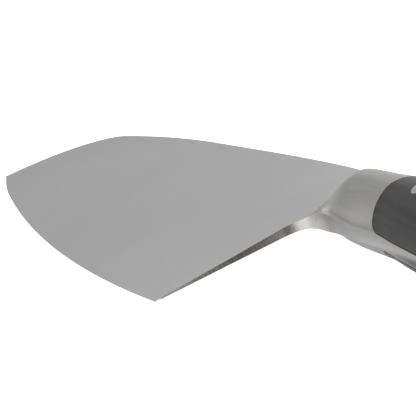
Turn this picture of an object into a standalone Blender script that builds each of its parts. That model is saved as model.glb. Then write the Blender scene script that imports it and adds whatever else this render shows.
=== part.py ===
"""Santoku kitchen knife: a forged blade with a full tang, two bolster halves, two scales and three rivets.

The knife lies on its right side. Its own axes are: x from the tip (negative) past the heel of the edge (zero)
to the butt (positive), y from the edge up to the spine, z out of the blade's left face. An empty carries the
pieces, so that the origin is the middle of the knife's footprint, on the surface that it lies on.
Lengths are in metres.
"""

import math

import bmesh
import bpy
import numpy as np

MM = 0.001

# Blade outline, seen from the side
BLADE_LENGTH = 170.0 * MM  # heel to tip
BLADE_HEIGHT = 46.0 * MM  # edge to spine
TIP_HEIGHT = 19.3 * MM  # tip above the heel's edge
EDGE_FLAT = 6.0 * MM  # straight edge ahead of the heel
EDGE_BELLY_POWER = 1.95
TIP_SWEEP = 1.0 * MM  # by how much the edge turns up more steeply at the tip
TIP_SWEEP_LENGTH = 20.0 * MM
SPINE_FALL = 2.95 * MM  # by how much the spine sinks before it turns down
SPINE_FALL_LENGTH = 55.0 * MM
DROP_LENGTH = 33.0 * MM  # the last stretch, where the spine turns down to the tip
DROP_REACH = 13.0 * MM  # handle of the drop curve at its upper end
TIP_REACH = 14.0 * MM  # and at the tip
TIP_ANGLE = math.radians(65.0)  # of the drop curve at the tip, from the knife's axis
TIP_BLUNT = 0.3 * MM  # width left at the tip

# Choil, the back of the blade, and its fillet into the bolster
CHOIL_TOP = 21.0 * MM  # its upper end, below the spine
CHOIL_LEAN = 3.0 * MM  # the choil runs back by this much as it rises
FILLET_LENGTH = 9.0 * MM  # from the choil back to the straight underside
FILLET_REACH_UP = 3.6 * MM
FILLET_REACH_BACK = 5.0 * MM

# Blade thickness
STOCK_THICKNESS = 3.0 * MM  # of the tang
SPINE_THICKNESS = 2.7 * MM  # at the heel
EDGE_SHOULDER = 0.14 * MM  # at the heel, where the flat face meets the edge bevel
EDGE_LAND = 0.06 * MM
DISTAL_TAPER = 0.001  # half thickness lost per length towards the tip
BEVEL_ANGLE = math.radians(16.0)
SPINE_EASE = 0.3 * MM

# Bolster
BOLSTER_FRONT_TOP = 2.1 * MM  # its front line at the spine, ahead of the heel
BOLSTER_FRONT_BOTTOM = 2.9 * MM  # its front line at the fillet, behind the choil
BOLSTER_BACK = 35.4 * MM  # where the scales begin, behind the heel
BOLSTER_LIP = 0.12 * MM  # thickness of its front line
SEAT_RAMP = 2.0 * MM  # the blade thickens to its stock behind the front line
BOLSTER_FLARE = (  # distance behind the front line, and half the bolster's thickness there
    (2.0 * MM, 1.92 * MM),
    (4.3 * MM, 2.84 * MM),
    (7.8 * MM, 4.42 * MM),
    (11.6 * MM, 5.67 * MM),
    (15.2 * MM, 6.21 * MM),
    (20.0 * MM, 6.56 * MM),
)
FRONT_POWERS = (1.33, 2.52)  # fullness of the section's lower and upper half at the front line
FRONT_POWERS_FADE = 0.7  # share of the bolster over which it turns into the section at its back

# Grip: depths of its underside and top below the spine, and half its thickness
GRIP_LENGTH = 87.5 * MM
UNDERSIDE_FRONT = 16.0 * MM  # at the end of the fillet
TOP_FRONT = 1.0 * MM  # at the bolster's front line
SHOULDER_TOP = 3.05 * MM  # top of the bolster's shoulder
SHOULDER_BACK = 14.0 * MM  # the shoulder, behind the heel
GRIP_FRONT = (17.1 * MM, 3.7 * MM, 7.1 * MM)  # underside, top and half thickness at the bolster
PALM_FRONT = (21.4 * MM, 3.9 * MM, 7.9 * MM)
PALM_FRONT_FROM_BOLSTER = 32.0 * MM
PALM_BACK = (23.6 * MM, 4.1 * MM, 8.5 * MM)
PALM_BACK_FROM_BUTT = 34.0 * MM
BEAK = (24.0 * MM, 5.4 * MM, 8.4 * MM)
BEAK_FROM_BUTT = 17.0 * MM
BUTT = (26.6 * MM, 7.8 * MM, 8.0 * MM)
ROUND_POWERS = (1.72, 2.0)  # fullness of the oval section's lower and upper half at the bolster
PALM_POWERS = (2.1, 2.4)  # and in the palm, where the sides are flatter
BUTT_ROUND = 4.0 * MM  # rounding over the thickness
BUTT_CORNER = 6.5 * MM  # rounding seen from the side
BUTT_SLANT = 0.16  # the butt's face leans forward at its top
CORNER_REACH = 1.2 * MM  # the scales' lower front corners are drawn back where they are this near the tang
CORNER_DRAW = 1.6 * MM  # and by this much on the tang itself
CORNER_FADE = 7.0 * MM

# Rivets, each a socket in the left scale that takes a pin from the right
RIVET_NAMES = ("front", "middle", "rear")
FRONT_RIVET_SETBACK = 11.7 * MM  # behind the bolster
FRONT_RIVET_DEPTH = 9.6 * MM  # below the spine
RIVET_PITCH = 27.0 * MM
RIVET_DROP = 1.6 * MM  # each rivet sits lower than the one ahead of it
RIVET_HEAD_RADIUS = 3.0 * MM
RIVET_SHANK_RADIUS = 2.0 * MM
RIVET_PIN_RADIUS = 1.2 * MM
RIVET_HEAD_SEAT = 4.6 * MM  # the heads bear on the scales at this height over the middle plane
SOCKET_END = 4.0 * MM  # the socket reaches this far past the middle plane
BORE_END = 3.6 * MM  # its bore is closed at this height under the head
PIN_CLEARANCE = 0.4 * MM  # the pin ends short of the bore

# Fits
JOINT_GAP = 0.1 * MM  # bond line under the bolster and the scales
RIVET_GAP = 0.08 * MM

# Fineness of the surfaces
EDGE_STATIONS = 52
CHOIL_STATIONS = 5
FILLET_STATIONS = 7
BOLSTER_STATIONS = 18
GRIP_STATIONS = 34
BUTT_STATIONS = 9
SECTION_POINTS = 21
ROUND_SEGMENTS = 32


def smooth(stations, x):
    """Value at x of a curve through (x, value) stations, which never overshoots them."""
    xs, ys = (np.array(column) for column in zip(*stations))
    step = np.diff(xs)
    secant = np.diff(ys) / step
    slope = np.zeros(len(xs))
    slope[0], slope[-1] = secant[0], secant[-1]
    for i in range(1, len(xs) - 1):
        if secant[i - 1] * secant[i] > 0:
            slope[i] = 2.0 * secant[i - 1] * secant[i] / (secant[i - 1] + secant[i])
    i = int(np.clip(np.searchsorted(xs, x) - 1, 0, len(step) - 1))
    t = (np.clip(x, xs[0], xs[-1]) - xs[i]) / step[i]
    start = (1 + 2 * t) * (1 - t) ** 2 * ys[i] + t * (1 - t) ** 2 * step[i] * slope[i]
    end = t * t * (3 - 2 * t) * ys[i + 1] + t * t * (t - 1) * step[i] * slope[i + 1]
    return float(start + end)


def bezier(points, t):
    """Point at t on the cubic curve through the first and last of four control points."""
    a, b, c, d = (np.array(p) for p in points)
    s = 1.0 - t
    return s**3 * a + 3 * s * s * t * b + 3 * s * t * t * c + t**3 * d


def resample(points, count):
    """The polyline's points moved so that count of them lie evenly along it."""
    points = np.array(points)
    lengths = np.linalg.norm(np.diff(points, axis=0), axis=1)
    along = np.concatenate([[0.0], np.cumsum(lengths)])
    wanted = np.linspace(0.0, along[-1], count)
    return np.stack([np.interp(wanted, along, points[:, k]) for k in range(2)], axis=1)


# Outlines in the knife's middle plane

BUTT_X = BOLSTER_BACK + GRIP_LENGTH
FILLET_BACK = CHOIL_LEAN + FILLET_LENGTH
FRONT_LOW_X = CHOIL_LEAN + BOLSTER_FRONT_BOTTOM


def grip_stations(column):
    """(x, value) stations along the grip for its underside (0), top (1) or half thickness (2)."""
    return (
        (BOLSTER_BACK, GRIP_FRONT[column]),
        (BOLSTER_BACK + PALM_FRONT_FROM_BOLSTER, PALM_FRONT[column]),
        (BUTT_X - PALM_BACK_FROM_BUTT, PALM_BACK[column]),
        (BUTT_X - BEAK_FROM_BUTT, BEAK[column]),
        (BUTT_X, BUTT[column]),
    )


def underside(x):
    """Height of the straight underside of the bolster and of the grip."""
    return BLADE_HEIGHT - smooth(((FILLET_BACK, UNDERSIDE_FRONT),) + grip_stations(0), x)


def top_side(x):
    """Height of the top of the bolster and of the grip."""
    front = ((-BOLSTER_FRONT_TOP, TOP_FRONT), (SHOULDER_BACK, SHOULDER_TOP))
    return BLADE_HEIGHT - smooth(front + grip_stations(1), x)


def edge_height(x):
    """Height of the cutting edge: straight at the heel, then a belly that rises to the tip."""
    ahead = max(0.0, -x - EDGE_FLAT) / (BLADE_LENGTH - EDGE_FLAT)
    near_tip = max(0.0, -x - (BLADE_LENGTH - TIP_SWEEP_LENGTH)) / TIP_SWEEP_LENGTH
    return (TIP_HEIGHT - TIP_SWEEP) * ahead**EDGE_BELLY_POWER + TIP_SWEEP * near_tip**2


def spine_points():
    """The spine from the tip to the bolster's front line."""
    drop_x = DROP_LENGTH - BLADE_LENGTH
    drop_y = BLADE_HEIGHT - SPINE_FALL
    slope = 2.0 * SPINE_FALL / SPINE_FALL_LENGTH
    tip = (-BLADE_LENGTH, TIP_HEIGHT)
    near_tip = (tip[0] + TIP_REACH * math.cos(TIP_ANGLE), tip[1] + TIP_REACH * math.sin(TIP_ANGLE))
    near_drop = (drop_x - DROP_REACH, drop_y - DROP_REACH * slope)
    controls = (tip, near_tip, near_drop, (drop_x, drop_y))
    points = [bezier(controls, t) for t in np.linspace(0.0, 1.0, 60)]
    level_x = drop_x + SPINE_FALL_LENGTH
    for x in np.linspace(drop_x, -BOLSTER_FRONT_TOP, 80)[1:]:
        ahead = max(0.0, level_x - x) / SPINE_FALL_LENGTH
        behind = max(0.0, x - level_x) / (-BOLSTER_FRONT_TOP - level_x)
        points.append((x, BLADE_HEIGHT - SPINE_FALL * ahead**2 - TOP_FRONT * behind**4))
    return points


def fillet_points():
    """The curve from the top of the choil round to the underside of the bolster."""
    corner = (CHOIL_LEAN, BLADE_HEIGHT - CHOIL_TOP)
    end = (FILLET_BACK, BLADE_HEIGHT - UNDERSIDE_FRONT)
    lean = corner[0] / corner[1]
    up = (corner[0] + FILLET_REACH_UP * lean, corner[1] + FILLET_REACH_UP)
    controls = (corner, up, (end[0] - FILLET_REACH_BACK, end[1]), end)
    return np.array([bezier(controls, t) for t in np.linspace(0.0, 1.0, 60)])


def low_point(x):
    """The lower outline of the bolster and tang at x: on the fillet, then on the underside."""
    fillet = fillet_points()
    y = float(np.interp(x, fillet[:, 0], fillet[:, 1])) if x < FILLET_BACK else underside(x)
    return np.array((x, y))


def high_point(x):
    return np.array((x, top_side(x)))


# Grip sections


def butt_inset(x, radius):
    """How far a round of this radius has drawn the outline in at x, near the butt."""
    past = max(0.0, x - (BUTT_X - radius))
    return radius - math.sqrt(max(0.0, radius**2 - past**2))


def grip_low_high(x):
    inset = butt_inset(x, BUTT_CORNER)
    return underside(x) + inset, top_side(x) - inset


def grip_half(x):
    return smooth(grip_stations(2), x) - butt_inset(x, BUTT_ROUND)


def grip_powers(x):
    share = np.clip((x - BOLSTER_BACK) / PALM_FRONT_FROM_BOLSTER, 0.0, 1.0)
    return [a + (b - a) * share for a, b in zip(ROUND_POWERS, PALM_POWERS)]


def slanted(x, y):
    """x moved for the lean of the butt's face, which fades out ahead of the beak."""
    share = np.clip((x - (BUTT_X - BEAK_FROM_BUTT)) / BEAK_FROM_BUTT, 0.0, 1.0)
    middle = (underside(x) + top_side(x)) / 2
    return x - BUTT_SLANT * share**2 * (y - middle)


def bulge(powers, v):
    """Height of the oval section at v, as a share of its full height."""
    power = powers[0] if v < 0 else powers[1]
    return (1.0 - min(1.0, abs(v)) ** power) ** (1.0 / power)


def corner_shift(x, v):
    """How far the joint of bolster and scale, and what is near it, is drawn back beside the tang."""
    if v > 0:
        return 0.0
    height = (GRIP_FRONT[2] - STOCK_THICKNESS / 2) * bulge(ROUND_POWERS, v)
    down = max(0.0, 1.0 - height / CORNER_REACH)
    near = np.clip(1.0 - abs(x - BOLSTER_BACK) / CORNER_FADE, 0.0, 1.0)
    return CORNER_DRAW * down**2 * near * near * (3 - 2 * near)


def outer_height(inner, half, powers, v):
    """Height of the outer surface over the middle plane, v running from -1 (low) to 1 (high)."""
    return inner + BOLSTER_LIP + (half - STOCK_THICKNESS / 2 - JOINT_GAP - BOLSTER_LIP) * bulge(powers, v)


def section_steps(powers):
    """Steps v across an oval section, closer together at its top and underside."""
    cosines = np.cos(np.linspace(math.pi, 0.0, SECTION_POINTS))
    return [-((-c) ** (2.0 / powers[0])) if c < 0 else c ** (2.0 / powers[1]) for c in cosines]


# Blade with its tang


def face_height(x, y):
    """Half the blade's thickness at a point of its face, which is one flat plane."""
    rise = (SPINE_THICKNESS - EDGE_SHOULDER) / 2 / BLADE_HEIGHT
    return max(EDGE_SHOULDER / 2 + rise * y + DISTAL_TAPER * x, EDGE_LAND * 0.7)


def blade_station(low, high, has_edge):
    """Rows (x, y, half thickness) up a line across the blade, from its lower to its upper outline."""
    low, high = np.array(low), np.array(high)
    length = np.linalg.norm(high - low)
    ease = min(SPINE_EASE / length, 0.3)
    start = ease
    rows = [(low, face_height(*low))]
    if has_edge:
        start = min((face_height(*low) - EDGE_LAND / 2) / math.tan(BEVEL_ANGLE) / length, 0.4)
        rows = [(low, EDGE_LAND / 2)]
    for v in (start, (1 + start - ease) / 2, 1 - ease):
        point = low + (high - low) * v
        rows.append((point, face_height(*point)))
    top = face_height(*high)
    rows.append((high, max(top - SPINE_EASE, top / 2)))
    return [(p[0], p[1], z) for p, z in rows]


def seat_lines():
    """Lines across the tang under the bolster, slanted at its front and square at its back."""
    ramp = SEAT_RAMP / (BOLSTER_BACK + BOLSTER_FRONT_TOP)
    shares = [0.0] + list(np.linspace(ramp, 1.0, BOLSTER_STATIONS))
    lines = []
    for share in shares:
        low = low_point(FRONT_LOW_X + (BOLSTER_BACK - FRONT_LOW_X) * share)
        high = high_point(-BOLSTER_FRONT_TOP + (BOLSTER_BACK + BOLSTER_FRONT_TOP) * share)
        lines.append((share, low, high))
    return lines


def seat_height(share, x, y):
    """Half the thickness of the steel under the bolster."""
    return face_height(x, y) if share == 0.0 else STOCK_THICKNESS / 2


def grip_xs(start):
    """Stations along the grip, closer together round the butt."""
    straight = np.linspace(start, BUTT_X - BUTT_CORNER, GRIP_STATIONS)
    turn = np.sin(np.linspace(0.0, math.pi / 2, BUTT_STATIONS))[1:]
    return list(straight) + list(BUTT_X - BUTT_CORNER + BUTT_CORNER * turn)


def blade_rows():
    """All lines across the blade and its tang, from the tip to the butt."""
    edge = [(x, edge_height(x)) for x in np.linspace(-BLADE_LENGTH, 0.0, 400)]
    edge_line = resample(edge, EDGE_STATIONS)
    up_choil = [0.02] + list(np.linspace(0.0, 1.0, CHOIL_STATIONS)[1:])
    above = [(CHOIL_LEAN * t, (BLADE_HEIGHT - CHOIL_TOP) * t) for t in up_choil]
    fillet = [p for p in fillet_points() if p[0] < FRONT_LOW_X]
    above += list(resample(fillet, FILLET_STATIONS)[1:-1])
    spine_line = resample(spine_points(), EDGE_STATIONS + len(above) + 1)
    stations = []
    for low, high in zip(edge_line[1:], spine_line[1:]):
        stations.append(blade_station(low, high, True))
    tip = []
    for line in (edge_line, spine_line):
        ahead = line[1] - line[0]
        tip.append(line[0] + ahead * TIP_BLUNT / np.linalg.norm(ahead))
    stations.insert(0, blade_station(*tip, True))
    for low, high in zip(above, spine_line[EDGE_STATIONS:]):
        stations.append(blade_station(low, high, False))
    steps = (0.0, 0.25, 0.5, 0.75, 1.0)
    for share, low, high in seat_lines():
        points = [low + (high - low) * v for v in steps]
        stations.append([(p[0], p[1], seat_height(share, *p)) for p in points])
    for x in grip_xs(BOLSTER_BACK)[1:]:
        low, high = grip_low_high(x)
        ys = [low + (high - low) * v for v in steps]
        stations.append([(slanted(x, y), y, STOCK_THICKNESS / 2) for y in ys])
    return np.array(stations)


# Bolster, scales and rivets


def bolster_powers(share):
    settled = smooth(((0.0, 0.0), (FRONT_POWERS_FADE / 2, 0.5), (FRONT_POWERS_FADE, 1.0)), share)
    return [a + (b - a) * settled for a, b in zip(FRONT_POWERS, ROUND_POWERS)]


def bolster_sides():
    """Outer and inner surface of one bolster half, as grids of points."""
    flare = ((0.0, STOCK_THICKNESS / 2 + JOINT_GAP + BOLSTER_LIP),) + BOLSTER_FLARE
    length = BOLSTER_BACK + (BOLSTER_FRONT_TOP - FRONT_LOW_X) / 2
    flare += ((length, GRIP_FRONT[2]),)
    outer, inner = [], []
    for share, low, high in seat_lines():
        half = smooth(flare, share * length)
        row_out, row_in = [], []
        for v in section_steps(ROUND_POWERS):
            x, y = low + (high - low) * (v + 1) / 2
            z = seat_height(share, x, y) + JOINT_GAP
            shift = corner_shift(x, v)
            y += (low_point(low[0] + shift)[1] - low[1]) * (1 - v) / 2
            x += shift
            row_in.append((x, y, z))
            row_out.append((x, y, outer_height(z, half, bolster_powers(share), v)))
        outer.append(row_out)
        inner.append(row_in)
    return np.array(outer), np.array(inner)


def scale_sides():
    """Outer and inner surface of one scale, as grids of points."""
    z = STOCK_THICKNESS / 2 + JOINT_GAP
    outer, inner = [], []
    for x in grip_xs(BOLSTER_BACK + JOINT_GAP):
        powers = grip_powers(x)
        row_out, row_in = [], []
        for v in section_steps(powers):
            drawn = x + corner_shift(x, v)
            low, high = grip_low_high(drawn)
            y = low + (high - low) * (v + 1) / 2
            row_in.append((slanted(drawn, y), y, z))
            row_out.append((slanted(drawn, y), y, outer_height(z, grip_half(drawn), powers, v)))
        outer.append(row_out)
        inner.append(row_in)
    return np.array(outer), np.array(inner)


def scale_height(x, y):
    """Height of a scale's outer surface over the middle plane at a point seen from the side."""
    low, high = grip_low_high(x)
    v = (2 * y - low - high) / (high - low)
    return outer_height(STOCK_THICKNESS / 2 + JOINT_GAP, grip_half(x), grip_powers(x), v)


def rivet_centres():
    first = (BOLSTER_BACK + FRONT_RIVET_SETBACK, BLADE_HEIGHT - FRONT_RIVET_DEPTH)
    return [(first[0] + RIVET_PITCH * i, first[1] - RIVET_DROP * i) for i in range(len(RIVET_NAMES))]


def head_rings(x, y):
    """Top of a rivet head, flush with the scale that it sits in: its middle and three rings."""
    rings = []
    for radius in (0.0, RIVET_HEAD_RADIUS * 0.4, RIVET_HEAD_RADIUS * 0.75, RIVET_HEAD_RADIUS):
        ring = []
        for angle in np.linspace(0.0, 2 * math.pi, ROUND_SEGMENTS, endpoint=False):
            px, py = x + radius * math.cos(angle), y + radius * math.sin(angle)
            ring.append((px, py, scale_height(px, py)))
        rings.append(ring)
    return rings


def turned_rings(x, y, profile):
    """Rings about the axis through (x, y), for a profile of (radius, height) points."""
    rings = []
    for radius, height in profile:
        angles = np.linspace(0.0, 2 * math.pi, ROUND_SEGMENTS, endpoint=False)
        rings.append([(x + radius * math.cos(a), y + radius * math.sin(a), height) for a in angles])
    return rings


def socket_rings(x, y):
    """The rivet's left half: a head with a tube that crosses the handle."""
    bore = RIVET_PIN_RADIUS + RIVET_GAP
    seat = RIVET_HEAD_SEAT + RIVET_GAP
    profile = (
        (RIVET_HEAD_RADIUS, seat),
        (RIVET_SHANK_RADIUS, seat),
        (RIVET_SHANK_RADIUS, -SOCKET_END),
        (bore, -SOCKET_END),
        (bore, BORE_END),
        (0.0, BORE_END),
    )
    return head_rings(x, y) + turned_rings(x, y, profile)


def pin_rings(x, y):
    """The rivet's right half, described as if from the left: a head with a pin for the tube's bore."""
    seat = RIVET_HEAD_SEAT + RIVET_GAP
    end = PIN_CLEARANCE - BORE_END
    profile = (
        (RIVET_HEAD_RADIUS, seat),
        (RIVET_PIN_RADIUS, seat),
        (RIVET_PIN_RADIUS, end),
        (0.0, end),
    )
    return head_rings(x, y) + turned_rings(x, y, profile)


# Objects


def finish(name, mesh_parts, material, parent, smooth_angle):
    """Object of one closed mesh with its normals outward and its creases kept sharp."""
    vertices, faces = mesh_parts
    mesh = bpy.data.meshes.new(name)
    mesh.from_pydata([tuple(map(float, v)) for v in vertices], [], faces)
    work = bmesh.new()
    work.from_mesh(mesh)
    bmesh.ops.remove_doubles(work, verts=work.verts, dist=1e-8)
    bmesh.ops.recalc_face_normals(work, faces=work.faces)
    work.to_mesh(mesh)
    work.free()
    mesh.shade_smooth()
    mesh.set_sharp_from_angle(angle=smooth_angle)
    thing = bpy.data.objects.new(name, mesh)
    bpy.context.collection.objects.link(thing)
    thing.parent = parent
    if material is not None:
        mesh.materials.append(material)
    return thing


def slab(upper, lower):
    """Closed mesh between two surfaces given as equal grids of points."""
    rows, columns = upper.shape[:2]
    vertices = np.concatenate([upper.reshape(-1, 3), lower.reshape(-1, 3)])
    offset = rows * columns
    faces = []
    for i in range(rows - 1):
        for j in range(columns - 1):
            a, b = i * columns + j, i * columns + j + 1
            c, d = b + columns, a + columns
            faces.append((a, b, c, d))
            faces.append((a + offset, d + offset, c + offset, b + offset))
    loop = [i * columns for i in range(rows)]
    loop += [(rows - 1) * columns + j for j in range(1, columns)]
    loop += [i * columns + columns - 1 for i in range(rows - 2, -1, -1)]
    loop += [j for j in range(columns - 2, 0, -1)]
    for a, b in zip(loop, loop[1:] + loop[:1]):
        faces.append((a, a + offset, b + offset, b))
    return vertices, faces


def turned(rings):
    """Closed mesh through rings of points; the first and the last ring are each a single point."""
    count = len(rings[0])
    inside = rings[1:-1]
    vertices = [p for ring in inside for p in ring] + [rings[0][0], rings[-1][0]]
    first, last = len(inside) * count, len(inside) * count + 1
    faces = []
    for k in range(count):
        n = (k + 1) % count
        faces.append((first, k, n))
        for i in range(len(inside) - 1):
            faces.append((i * count + k, (i + 1) * count + k, (i + 1) * count + n, i * count + n))
        base = (len(inside) - 1) * count
        faces.append((base + k, last, base + n))
    return np.array(vertices), faces


def mirrored(mesh_parts):
    """The same mesh on the other side of the knife's middle plane."""
    vertices, faces = mesh_parts
    return np.array(vertices) * (1.0, 1.0, -1.0), faces


def drill(target, name, profile, mirror, parent):
    """Cut one stepped hole per rivet out of the target."""
    vertices, faces = [], []
    for x, y in rivet_centres():
        some, some_faces = turned(turned_rings(x, y, profile))
        faces += [tuple(i + len(vertices) for i in face) for face in some_faces]
        vertices += [tuple(v) for v in some]
    parts = (np.array(vertices), faces)
    cutter = finish(name, mirrored(parts) if mirror else parts, None, parent, math.radians(30))
    cutter.hide_render = True
    cutter.display_type = "WIRE"
    cut = target.modifiers.new("rivet holes", "BOOLEAN")
    cut.operation = "DIFFERENCE"
    cut.solver = "EXACT"
    cut.object = cutter


def make_material(name, colour, metallic, roughness):
    material = bpy.data.materials.new(name)
    material.use_nodes = True
    shader = material.node_tree.nodes["Principled BSDF"]
    shader.inputs["Base Color"].default_value = (*colour, 1.0)
    shader.inputs["Metallic"].default_value = metallic
    shader.inputs["Roughness"].default_value = roughness
    return material


def clear_scene():
    for thing in list(bpy.data.objects):
        bpy.data.objects.remove(thing, do_unlink=True)


def build():
    clear_scene()
    carrier = bpy.data.objects.new("santoku", None)
    bpy.context.collection.objects.link(carrier)
    crease = math.radians(28)
    far = 4 * GRIP_FRONT[2]

    rows = blade_rows()
    steel = make_material("blade_steel", (0.46, 0.46, 0.46), 1.0, 0.32)
    blade = finish("blade", slab(rows, rows * (1.0, 1.0, -1.0)), steel, carrier, math.radians(12))
    tang_hole = RIVET_SHANK_RADIUS + 2 * RIVET_GAP
    drill(blade, "tang_holes", ((0.0, far), (tang_hole, far), (tang_hole, -far), (0.0, -far)), False, carrier)

    everything = [blade]
    shank, head = RIVET_SHANK_RADIUS + RIVET_GAP, RIVET_HEAD_RADIUS + RIVET_GAP
    stepped = (
        (0.0, far),
        (head, far),
        (head, RIVET_HEAD_SEAT),
        (shank, RIVET_HEAD_SEAT),
        (shank, 0.0),
        (0.0, 0.0),
    )
    for side in ("left", "right"):
        mirror = side == "right"
        bolster_parts, scale_parts = slab(*bolster_sides()), slab(*scale_sides())
        if mirror:
            bolster_parts, scale_parts = mirrored(bolster_parts), mirrored(scale_parts)
        colour = make_material(f"bolster_{side}_steel", (0.42, 0.42, 0.42), 1.0, 0.28)
        everything.append(finish(f"bolster_{side}", bolster_parts, colour, carrier, crease))
        colour = make_material(f"scale_{side}_laminate", (0.055, 0.05, 0.047), 0.0, 0.5)
        scale = finish(f"scale_{side}", scale_parts, colour, carrier, crease)
        drill(scale, f"scale_{side}_holes", stepped, mirror, carrier)
        everything.append(scale)

    for name, (x, y) in zip(RIVET_NAMES, rivet_centres()):
        colour = make_material(f"rivet_{name}_socket_steel", (0.6, 0.6, 0.6), 1.0, 0.25)
        parts = turned(socket_rings(x, y))
        everything.append(finish(f"rivet_{name}_socket", parts, colour, carrier, crease))
        colour = make_material(f"rivet_{name}_pin_steel", (0.6, 0.6, 0.6), 1.0, 0.25)
        parts = mirrored(turned(pin_rings(x, y)))
        everything.append(finish(f"rivet_{name}_pin", parts, colour, carrier, crease))

    points = np.concatenate([[tuple(v.co) for v in thing.data.vertices] for thing in everything])
    low, high = points.min(axis=0), points.max(axis=0)
    carrier.location = (-(low[0] + high[0]) / 2, -(low[1] + high[1]) / 2, -low[2])


build()
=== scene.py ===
# %% [markdown]
# # A santoku knife
#
# The knife is one bar of steel, ground to a thin wedge in front and left thick behind, where it becomes the
# tang. Two bolster halves swell out from the blade, two dark scales cover the tang, and three rivets hold
# them. The solid model fixes every size. This notebook gives it surfaces that are fine enough to reflect
# light smoothly.

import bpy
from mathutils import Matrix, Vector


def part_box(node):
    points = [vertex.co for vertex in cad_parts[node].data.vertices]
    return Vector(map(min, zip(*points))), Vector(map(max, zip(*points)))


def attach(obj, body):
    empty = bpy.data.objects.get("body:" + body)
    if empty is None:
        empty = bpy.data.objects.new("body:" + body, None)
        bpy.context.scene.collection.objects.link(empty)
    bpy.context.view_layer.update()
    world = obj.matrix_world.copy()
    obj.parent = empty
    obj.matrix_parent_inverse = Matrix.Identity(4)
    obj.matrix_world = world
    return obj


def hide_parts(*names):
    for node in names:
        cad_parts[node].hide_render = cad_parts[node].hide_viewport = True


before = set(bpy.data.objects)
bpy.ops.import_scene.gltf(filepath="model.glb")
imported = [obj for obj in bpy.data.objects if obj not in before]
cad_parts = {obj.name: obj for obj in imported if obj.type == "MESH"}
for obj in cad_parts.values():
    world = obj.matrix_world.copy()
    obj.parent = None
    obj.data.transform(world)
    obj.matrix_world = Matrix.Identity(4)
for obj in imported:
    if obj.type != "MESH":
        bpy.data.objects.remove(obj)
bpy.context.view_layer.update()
print("nodes:", ", ".join(sorted(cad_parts)))

# %% [markdown]
# ## Coordinates
#
# A knife maker measures from the heel, the back corner of the cutting edge. So shapes here are in
# millimetres, with x running from the heel to the butt, y from the edge to the spine and z out of the
# blade's left face. One function turns them into metres in the frame, and the frame itself says where the
# heel is.

# %% The heel's place in the frame
import math

import bmesh
import bpy
import numpy as np
from mathutils import Matrix, Vector

MM = 0.001
BLADE_LENGTH = 170.0
BLADE_HEIGHT = 46.0

blade_low, blade_high = (np.array(corner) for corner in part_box("blade"))
HEEL = np.array([blade_low[0] + BLADE_LENGTH * MM, blade_low[1], (blade_low[2] + blade_high[2]) / 2])


def in_frame(points):
    """Points in millimetres from the heel, as metres in the frame: heel + 0.001 * point."""
    return HEEL + np.asarray(points, dtype=float) * MM


print("heel in the frame, mm:", np.round(HEEL / MM, 2))

# %% [markdown]
# ## Curves through a few sizes
#
# The outline of a handle is a handful of widths with a fair curve through them. An ordinary spline can
# swing past its points and make a bump that the knife lacks. A monotone cubic never does, so it is used for
# every outline here.

# %% A curve that never overshoots


def fair(stations, x):
    """Monotone cubic through (x, value) stations.

    Each slope is the harmonic mean of its two neighbours' slopes, and 0 where these have different signs.
    """
    xs, ys = np.array(stations, dtype=float).T
    step = np.diff(xs)
    secant = np.diff(ys) / step
    product = secant[:-1] * secant[1:]
    total = np.where(product > 0, secant[:-1] + secant[1:], 1.0)
    inner = np.where(product > 0, 2 * product / total, 0.0)
    slope = np.concatenate([secant[:1], inner, secant[-1:]])
    x = np.clip(np.asarray(x, dtype=float), xs[0], xs[-1])
    i = np.clip(np.searchsorted(xs, x) - 1, 0, len(step) - 1)
    t = (x - xs[i]) / step[i]
    rise = (1 + 2 * t) * (1 - t) ** 2 * ys[i] + t * (1 - t) ** 2 * step[i] * slope[i]
    return rise + t * t * (3 - 2 * t) * ys[i + 1] + t * t * (t - 1) * step[i] * slope[i + 1]


def bezier(controls, count):
    """Cubic curve (1-t)^3 a + 3(1-t)^2 t b + 3(1-t) t^2 c + t^3 d, at count even steps of t."""
    a, b, c, d = (np.array(p, dtype=float) for p in controls)
    t = np.linspace(0.0, 1.0, count)[:, None]
    s = 1.0 - t
    return s**3 * a + 3 * s * s * t * b + 3 * s * t * t * c + t**3 * d


def evenly(points, count):
    """The same polyline with count points at even distances along it."""
    along = np.concatenate([[0.0], np.cumsum(np.linalg.norm(np.diff(points, axis=0), axis=1))])
    wanted = np.linspace(0.0, along[-1], count)
    return np.stack([np.interp(wanted, along, points[:, k]) for k in range(2)], axis=1)


print("halfway between 1 and 3:", fair(((0, 1), (1, 3)), 0.5))

# %% [markdown]
# ## From grids to meshes
#
# Nearly every piece is a grid of stations along the knife and rows across it. Whole arrays of faces are
# worked out at once from the grid's numbering, with no loop over points, and foreach_set hands them to
# Blender with the number of each face's material.

# %% Grid meshes


def numbered(rows, columns):
    """Numbers of a grid's points, row by row."""
    return np.arange(rows * columns).reshape(rows, columns)


def quads_of(corners):
    """Faces from four arrays with the numbers of their corners."""
    return np.stack(corners, axis=-1).reshape(-1, 4)


def grid_faces(rows, columns):
    """Quads of a grid: (i, j), (i, j+1), (i+1, j+1), (i+1, j)."""
    n = numbered(rows, columns)
    return quads_of((n[:-1, :-1], n[:-1, 1:], n[1:, 1:], n[1:, :-1]))


def face_numbers(grid):
    """Station and row of every face of a grid of points, counted from 0."""
    return np.indices((grid.shape[0] - 1, grid.shape[1] - 1))


def rim_loop(rows, columns):
    """Numbers of the grid's border points, once round."""
    n = numbered(rows, columns)
    return np.concatenate([n[:, 0], n[-1, 1:], n[-2::-1, -1], n[0, -2:0:-1]])


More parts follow.
